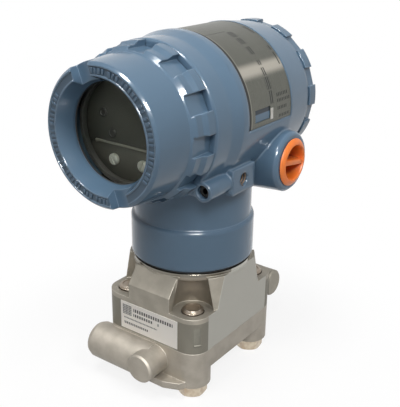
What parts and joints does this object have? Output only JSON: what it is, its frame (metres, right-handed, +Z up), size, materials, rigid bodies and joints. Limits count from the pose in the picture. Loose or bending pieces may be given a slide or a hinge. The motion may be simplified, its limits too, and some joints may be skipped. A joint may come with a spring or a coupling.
{
  "type": "pressure transmitter",
  "caption": "Field pressure transmitter: windowed cast housing with screwed covers on a swivelling neck, above a stainless sensor module bolted to a ported process flange.",
  "frame": {"origin": "centre of the process flange's flat underside, on the neck axis", "axes": "+Z up along the neck axis, -Y towards the windowed cover, +X towards the side with the ground block and jam screw"},
  "size_m": [0.0888, 0.127, 0.1801],
  "materials": {
    "painted_casting": "satin blue-grey paint over a cast aluminium body",
    "black_rubber": "matte",
    "seal_plastic": "matte",
    "clear_glass": "polished",
    "black_plastic": "matte",
    "plate_steel": "satin",
    "board_green": "satin",
    "screw_nickel": "satin",
    "orange_plastic": "satin",
    "blasted_steel": "matte",
    "ribbon_grey": "matte",
    "label_white": "satin",
    "plated_bolts": "satin"
  },
  "bodies": {
    "base": {"sensor_module": "blasted_steel", "module_header": "black_plastic", "module_label": "label_white", "isolating_diaphragms": "plate_steel", "process_seals": "seal_plastic", "process_flange": "blasted_steel", "flange_bolts": "plated_bolts", "neck_seal": "black_rubber"},
    "electronics_housing": {"housing": "painted_casting", "nameplate": "plate_steel", "electronics_case": "black_plastic", "electronics_board": "board_green", "captive_screws": "screw_nickel", "terminal_block": "black_plastic", "terminal_screws": "screw_nickel", "terminal_fixing_screws": "screw_nickel", "cover_jam_screw": "screw_nickel", "neck_set_screw": "screw_nickel", "ribbon_cable": "ribbon_grey"},
    "front_seal": {"front_cover_seal": "black_rubber"},
    "windowed_cover": {"front_cover": "painted_casting", "window_gasket": "black_rubber", "window_glass": "clear_glass", "window_retainer": "black_plastic"},
    "rear_seal": {"rear_cover_seal": "black_rubber"},
    "blind_cover": {"rear_cover": "painted_casting"},
    "right_plug": {"conduit_plug_right": "orange_plastic"},
    "left_plug": {"conduit_plug_left": "orange_plastic"}
  },
  "joints": [
    {"name": "housing_swivel", "type": "hinge", "parent": "base", "child": "electronics_housing", "pos_m": [0, 0, 0.07], "axis": [0, 0, 1], "range_deg": [-180, 180]},
    {"name": "front_cover_travel", "type": "slide", "parent": "electronics_housing", "child": "front_seal", "axis": [0, -1, 0], "range_m": [0, 0.0121]},
    {"name": "front_cover_turn", "type": "hinge", "parent": "front_seal", "child": "windowed_cover", "pos_m": [0, -0.05, 0.1345], "axis": [0, -1, 0], "range_deg": [0, 2160]},
    {"name": "rear_cover_travel", "type": "slide", "parent": "electronics_housing", "child": "rear_seal", "axis": [0, 1, 0], "range_m": [0, 0.0101]},
    {"name": "rear_cover_turn", "type": "hinge", "parent": "rear_seal", "child": "blind_cover", "pos_m": [0, 0.055, 0.1345], "axis": [0, 1, 0], "range_deg": [0, 1800]},
    {"name": "right_plug_pull", "type": "slide", "parent": "electronics_housing", "child": "right_plug", "axis": [1, 0, 0], "range_m": [0, 0.02]},
    {"name": "left_plug_pull", "type": "slide", "parent": "electronics_housing", "child": "left_plug", "axis": [-1, 0, 0], "range_m": [0, 0.02]}
  ],
  "couplings": [
    {"joint": "front_cover_travel", "follows": "front_cover_turn", "m_per_rad": 0.00031831},
    {"joint": "rear_cover_travel", "follows": "rear_cover_turn", "m_per_rad": 0.00031831}
  ]
}
